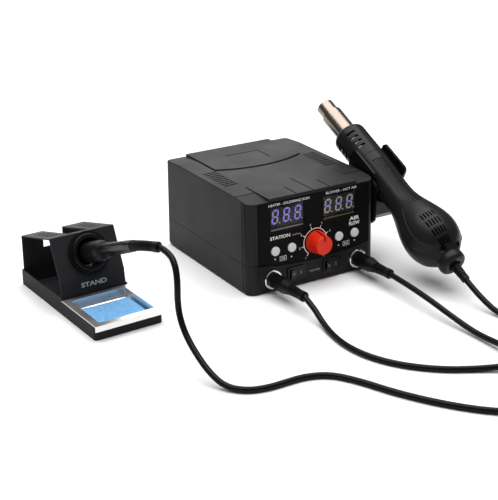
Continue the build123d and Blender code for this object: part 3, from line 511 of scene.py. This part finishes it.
def display_digits(name, x, middle_z, characters):
    """Three slanted digits: lit bars in one piece, and unlit bars and points, whose glow is painted light,
    in another.
    """
    lit, unlit = [], []
    for index, character in enumerate(characters):
        shift_x = (index - 1) * DIGIT_PITCH
        for letter, outline in segment_outlines().items():
            slanted = [(shift_x + px + py * DIGIT_SLANT, py) for px, py in outline]
            (lit if letter in SEGMENTS_OF[character] else unlit).append(slanted)
        point_x = shift_x + DIGIT_WIDTH / 2 + POINT_GAP
        unlit.append(rectangle(point_x, -DIGIT_HEIGHT / 2 + POINT_SIZE / 2, POINT_SIZE, POINT_SIZE))
    place = on_face(x, middle_z, DISPLAY_DEPTH)
    printed(name + "_lit_bars", lit, place, SEGMENT_LIT, "root")
    printed(name + "_unlit_bars", unlit, place, SEGMENT_PALE_PAINTED_GLOW, "root")


# ---------------------------------------------------------------- printing on the panel

DIAL_TICKS = [233.5 - 41.8 * index for index in range(8)]       # degrees
DIAL_RING_RADIUS = 13.3
DIAL_RING_WIDTH = 0.9
TICK_START, TICK_END = 13.2, 16.4
TICK_HALF_WIDTH = 0.35
NUMBER_RADIUS = 18.7
NUMBER_HEIGHT = 2.3
PANEL_WORDS = [                     # name, words, x, z, capital height, width, bold, finish
    ("iron_heading", "HEATER - SOLDERING IRON", -27.5, 86.6, 2.5, 46.0, 0.0, PRINT),
    ("air_heading", "BLOWER - HOT AIR", 32.5, 87.2, 2.5, 36.0, 0.0, PRINT),
    ("left_word", "STATION", -38.2, 54.0, 3.4, 22.5, 0.02, PRINT),
    ("left_small_word", "DIGITAL", -19.6, 53.2, 1.6, 10.0, 0.0, PRINT_DIM),
    ("right_word_top", "AIR", 48.1, 56.0, 3.8, 12.0, 0.03, PRINT),
    ("right_word_low", "FLOW", 48.1, 50.8, 3.8, 12.6, 0.03, PRINT),
    ("power_word", "POWER", 1.4, 12.0, 2.0, 11.7, 0.0, PRINT_DIM),
]
ARROWS = ((-44.2, 32.6, -1), (-25.5, 32.0, 1), (29.3, 31.8, 1), (48.3, 32.6, -1))     # x, z, 1 for up
ARROW_HALF_WIDTH = 1.0
ARROW_FOOT = 0.8
ARROW_TIP = 0.9
BOX_X = (-35.0, 38.3)
BOX_Z = 32.0
BOX_WIDTH, BOX_HEIGHT = 7.6, 4.4
BOX_SIDE = 3.6
BOX_EDGE = 2.1
BOX_LINE = 0.4
BOX_BARS = (-1.6, 0, 1.6)
BOX_BAR_SIZE = (0.6, 2.2)
STRIP_SIZE = (36.0, 1.2)
STRIP_Z = 61.6
STRIP_DEPTH = -1.25


def dial_print():
    """Ring, ticks and numbers round the knob."""
    marks = arc_band(DIAL_RING_RADIUS, DIAL_RING_WIDTH, DIAL_TICKS[0], DIAL_TICKS[-1])
    corners = [(TICK_START, TICK_HALF_WIDTH), (TICK_START, -TICK_HALF_WIDTH),
               (TICK_END, -TICK_HALF_WIDTH), (TICK_END, TICK_HALF_WIDTH)]
    for angle in DIAL_TICKS:
        c, s = cos(radians(angle)), sin(radians(angle))
        marks.append([(out * c - aside * s, out * s + aside * c) for out, aside in corners])
    printed("dial_ring", marks, on_face(*KNOB), PRINT, "root")
    for index, angle in enumerate(DIAL_TICKS):
        x = KNOB[0] + NUMBER_RADIUS * cos(radians(angle))
        z = KNOB[1] + NUMBER_RADIUS * sin(radians(angle))
        lettering(f"dial_number_{index + 1}", str(index + 1), on_face(x, z), NUMBER_HEIGHT, PRINT, "root")


def panel_print():
    """Headings, arrows and boxed symbols of the front panel."""
    for name, words, x, z, height, width, bold, material in PANEL_WORDS:
        lettering(name, words, on_face(x, z), height, material, "root", width, bold)
    arrows = []
    for x, z, up in ARROWS:
        foot = z - up * ARROW_FOOT
        arrows.append([(x - ARROW_HALF_WIDTH, foot), (x + ARROW_HALF_WIDTH, foot), (x, z + up * ARROW_TIP)])
    printed("arrows", arrows, on_face(0, 0), PRINT, "root")
    boxes = []
    for x in BOX_X:
        for edge in (-BOX_EDGE, BOX_EDGE):
            boxes.append(rectangle(x, BOX_Z + edge, BOX_WIDTH, BOX_LINE))
        for side in (-BOX_SIDE, BOX_SIDE):
            boxes.append(rectangle(x + side, BOX_Z, BOX_LINE, BOX_HEIGHT))
        for bar in BOX_BARS:
            boxes.append(rectangle(x + bar, BOX_Z, *BOX_BAR_SIZE))
    printed("boxed_symbols", boxes, on_face(0, 0), PRINT, "root")
    for name, x in DISPLAY_X.items():
        material = RIM_STRIP if name == "air" else PRINT_DIM
        place = on_face(x, STRIP_Z, STRIP_DEPTH)
        printed(name + "_display_strip", [rectangle(0, 0, *STRIP_SIZE)], place, material, "root")


# ---------------------------------------------------------------- marks on the stand, knob and rockers

SLOPE_FOOT = (0, 66.0, 14.5)        # the holder's lower slope, in the stand's own frame
SLOPE_TOP = (0, 68.3, 29.9)
STAND_WORD_SHARE = 0.55             # how far up the slope
STAND_WORD_X = 35.0
STAND_SHEET = 0.62                  # how far the slope's face lies in front of that line
STAND_WORD_SIZE = (4.6, 26.0)       # capital height and width
POINTER_OUTLINE = [(11.15, 2.0), (9.25, 15.0), (9.02, 15.75), (8.5, 16.12), (7.9, 16.14), (4.0, 16.14)]
POINTER_HALF_WIDTH = 0.75
KEY_MIDDLE = 1.5                    # how far a rocker's key stands out in its middle
KEY_RISE, KEY_HALF_LENGTH = 1.1, 7.8
KEY_MARK_X = 4.4
OFF_RING = (1.3, 0.4)               # radius and line width
ON_BAR = (0.5, 3.0)


def stand_word():
    """A word on the lower slope of the stand's holder."""
    low = STAND @ (Vector(SLOPE_FOOT) * MM)
    high = STAND @ (Vector(SLOPE_TOP) * MM)
    up = (high - low).normalized()
    across = (STAND.to_3x3() @ Vector((1, 0, 0))).normalized()
    place = Matrix((across, up, across.cross(up))).transposed().to_4x4()
    middle = low.lerp(high, STAND_WORD_SHARE) + across * STAND_WORD_X * MM
    place.translation = middle + across.cross(up) * STAND_SHEET * MM
    height, width = STAND_WORD_SIZE
    lettering("stand_word", "STAND", place, height, PRINT_DIM, "root", width, 0.03)


def knob_pointer():
    """Black line up the knob's side and half way across its face."""
    place = on_face(*KNOB)
    points = []
    for radius, out in POINTER_OUTLINE:
        for x in (-POINTER_HALF_WIDTH, POINTER_HALF_WIDTH):
            points.append(place @ (Vector((x, radius + DECAL_GAP, out + DECAL_GAP)) * MM))
    faces = [(low, low + 1, low + 3, low + 2) for low in range(0, len(points) - 2, 2)]
    mesh = bpy.data.meshes.new("knob_pointer")
    mesh.from_pydata(points, [], faces)
    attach(new_piece("knob_pointer", mesh, BLACK_PRINT_AND_SHADE, False), "dial_knob")


def rocker_marks():
    """Off and on marks on the two slopes of each rocker."""
    slope = atan2(KEY_RISE, KEY_HALF_LENGTH)
    out = KEY_MIDDLE + KEY_MARK_X * KEY_RISE / KEY_HALF_LENGTH
    marks = (("_off_mark", -1, arc_band(*OFF_RING, 0, 360, 24)), ("_on_mark", 1, [rectangle(0, 0, *ON_BAR)]))
    for name, x in SWITCH_X.items():
        key = on_face(x, LOWER_ROW_Z) @ turn(ROCKER_TILT, "Y")
        for ending, side, outline in marks:
            place = key @ shift(side * KEY_MARK_X, 0, out) @ Matrix.Rotation(-side * slope, 4, "Y")
            printed(name + ending, outline, place, PRINT_DIM, name + "_rocker")


# ---------------------------------------------------------------- gun, sponge

RIDGE = [                           # distance from the gun's tip, angle round the handle
    (166, -56.0), (172, -62.7), (184, -69.0), (198, -72.0), (210, -69.6), (219, -60.0), (225, -48.6),
]
RIDGE_RADIUS = 0.55
RIDGE_STEPS = 6                     # points between two places of the list
RIDGE_END = 0.25                    # the ends' share of the full radius
RIDGE_TAPER = 8                     # points over which the radius grows
RAY_START = 60                      # farther out than any part of the handle
SCREW_X = 9.0
SCREW_HEAD_UP = 10.1
SCREW_ALONG = 225.5
CROSS_LENGTH, CROSS_WIDTH = 3.2, 0.7
CROSS_ARM, CROSS_ARM_OUT = 1.2, 1.0


def handle_surface(s, angle):
    """The handle's outer surface at a distance and an angle (degrees from the top towards +X)."""
    outward = GUN.to_3x3() @ Vector((sin(radians(angle)), cos(radians(angle)), 0))
    start = GUN @ (Vector((0, 0, s)) * MM) + outward * RAY_START * MM
    best = None
    for name in ("gun_shell_upper", "gun_shell_lower"):
        node = nodes[name]
        back = node.matrix_world.inverted()
        hit, place, normal, face = node.ray_cast(back @ start, back.to_3x3() @ -outward)
        if hit and (best is None or (node.matrix_world @ place - start).length < (best - start).length):
            best = node.matrix_world @ place
    return best


def handle_ridges():
    """Raised lines round the smooth panel on each side of the handle."""
    for name, side in (("left", 1), ("right", -1)):
        line = []
        for (s0, a0), (s1, a1) in zip(RIDGE, RIDGE[1:]):
            for step in range(RIDGE_STEPS):
                share = step / RIDGE_STEPS
                line.append(handle_surface(s0 + (s1 - s0) * share, side * (a0 + (a1 - a0) * share)))
        last = len(line) - 1
        from_ends = [min(index, last - index) for index in range(len(line))]
        radii = [RIDGE_RADIUS * MM * min(1.0, RIDGE_END + count / RIDGE_TAPER) for count in from_ends]
        piece = swept("handle_ridge_" + name, line, radii, MATERIALS["handle_black"], 12)
        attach(piece, "gun")


def screw_recess_shades():
    """Painted shade of the cross recesses on the heads of the handle's two screws, as flat black crosses."""
    cross = [rectangle(0, 0, CROSS_LENGTH, CROSS_WIDTH)]
    for side in (1, -1):
        cross.append(rectangle(0, side * CROSS_ARM_OUT, CROSS_WIDTH, CROSS_ARM))
    for name, x in (("left", -SCREW_X), ("right", SCREW_X)):
        head = GUN @ shift(x, SCREW_HEAD_UP, SCREW_ALONG) @ turn(-90, "X")
        # painted shade: flat black marks where the recesses would be dark
        printed("screw_recess_shade_" + name, cross, head, BLACK_PRINT_AND_SHADE, "gun")


SPONGE_HALF = Vector((26.1, 21.9, 2.35))
SPONGE_MIDDLE = (34.75, 28.0, 6.75)
SPONGE_ROUND = 1.5
SPONGE_CUTS = 23
SPONGE_PULL = (0.012, 0.014)        # how far the middles of its sides pull in
SPONGE_DIP = 0.35
SPONGE_LUMPS = 0.16                 # lumps per millimetre


def sponge_pad():
    """Soft pad with rounded edges, sides that pull in and a slightly uneven top."""
    bm = bmesh.new()
    bmesh.ops.create_cube(bm, size=2.0)
    bmesh.ops.subdivide_edges(bm, edges=bm.edges, cuts=SPONGE_CUTS, use_grid_fill=True)
    inner = [half - SPONGE_ROUND for half in SPONGE_HALF]
    place = STAND @ shift(*SPONGE_MIDDLE)
    for vertex in bm.verts:
        wide = Vector([vertex.co[axis] * SPONGE_HALF[axis] for axis in range(3)])
        core = Vector([max(-inner[axis], min(inner[axis], wide[axis])) for axis in range(3)])
        away = wide - core
        point = core + away.normalized() * SPONGE_ROUND if away.length > 0 else core
        point.x *= 1 - SPONGE_PULL[0] * (1 - (point.y / SPONGE_HALF.y) ** 2)
        point.y *= 1 - SPONGE_PULL[1] * (1 - (point.x / SPONGE_HALF.x) ** 2)
        if point.z > 0:
            dip = SPONGE_DIP * (0.5 + 0.5 * noise.noise(point * SPONGE_LUMPS))
            point.z -= dip * point.z / SPONGE_HALF.z
        vertex.co = place @ (point * MM)
    bmesh.ops.recalc_face_normals(bm, faces=bm.faces)
    mesh = bpy.data.meshes.new("sponge_pad")
    bm.to_mesh(mesh)
    bm.free()
    pad = new_piece("sponge_pad", mesh, MATERIALS["sponge_blue"])
    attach(pad, "sponge")
    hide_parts("sponge")


# ---------------------------------------------------------------- floor, light and camera

FLOOR_REACH = 6.0                   # metres, as are the places and sizes below
LIGHTS = [                          # name, place, target, size, power in watts
    ("overhead", (0.0, 0.1, 1.7), (0, 0, 0), (2.4, 1.8), 51),
    ("rear_softbox", (0.5, 2.3, 1.0), (0, 0, 0.05), (2.4, 1.2), 17),
]
WORLD_LOW = 0.05
WORLD_HIGH = 0.8
WORLD_STRENGTH = 0.4
CAMERA_PLACE = (-0.62968, -0.97531, 0.48656)
CAMERA_TURN = (67.468, 0, -31.824)  # degrees
CAMERA_LENS = 88.71                 # millimetres, on a sensor 36 wide


def floor_piece():
    """Plain white floor under the object."""
    mesh = bpy.data.meshes.new("floor")
    corners = [(x, y, 0) for x, y in rectangle(0, 0, 2 * FLOOR_REACH, 2 * FLOOR_REACH)]
    mesh.from_pydata(corners, [], [(0, 1, 2, 3)])
    floor = new_piece("floor", mesh, finish("floor", (0.9, 0.9, 0.9), 0.9, specular=0.0), False)


def area_light(name, place, target, size, power):
    """A soft rectangular light aimed at a point."""
    data = bpy.data.lights.new(name, "AREA")
    data.shape = "RECTANGLE"
    data.size, data.size_y = size
    data.energy = power
    light = bpy.data.objects.new(name, data)
    light.location = place
    light.rotation_euler = (Vector(target) - Vector(place)).to_track_quat("-Z", "Y").to_euler()
    bpy.context.scene.collection.objects.link(light)


def studio_world():
    """Surroundings that are bright overhead and dim towards the horizon and below."""
    world = bpy.data.worlds.new("studio")
    world.use_nodes = True
    tree = world.node_tree
    background = tree.nodes["Background"]
    place = tree.nodes.new("ShaderNodeTexCoord")
    split = tree.nodes.new("ShaderNodeSeparateXYZ")
    ramp = tree.nodes.new("ShaderNodeValToRGB")
    ramp.color_ramp.elements[0].position = 0.0
    ramp.color_ramp.elements[0].color = (WORLD_LOW, WORLD_LOW, WORLD_LOW, 1)
    ramp.color_ramp.elements[1].position = 0.8
    ramp.color_ramp.elements[1].color = (WORLD_HIGH, WORLD_HIGH, WORLD_HIGH, 1)
    tree.links.new(place.outputs["Generated"], split.inputs["Vector"])
    tree.links.new(split.outputs["Z"], ramp.inputs["Fac"])
    tree.links.new(ramp.outputs["Color"], background.inputs["Color"])
    background.inputs["Strength"].default_value = WORLD_STRENGTH
    bpy.context.scene.world = world


def camera_view():
    """The camera, in front and to the left of the station."""
    data = bpy.data.cameras.new("camera")
    data.lens = CAMERA_LENS
    data.sensor_width = 36
    data.clip_start = 0.05
    camera = bpy.data.objects.new("camera", data)
    camera.location = CAMERA_PLACE
    camera.rotation_euler = [radians(angle) for angle in CAMERA_TURN]
    bpy.context.scene.collection.objects.link(camera)
    bpy.context.scene.camera = camera
    bpy.context.scene.view_settings.view_transform = "Standard"


repaint_nodes()
build_cords()
for display, middle_z, characters in READINGS:
    display_digits(display, DISPLAY_X[display], middle_z, characters)
dial_print()
panel_print()
stand_word()
knob_pointer()
rocker_marks()
handle_ridges()
screw_recess_shades()
sponge_pad()
floor_piece()
for light in LIGHTS:
    area_light(*light)
studio_world()
camera_view()
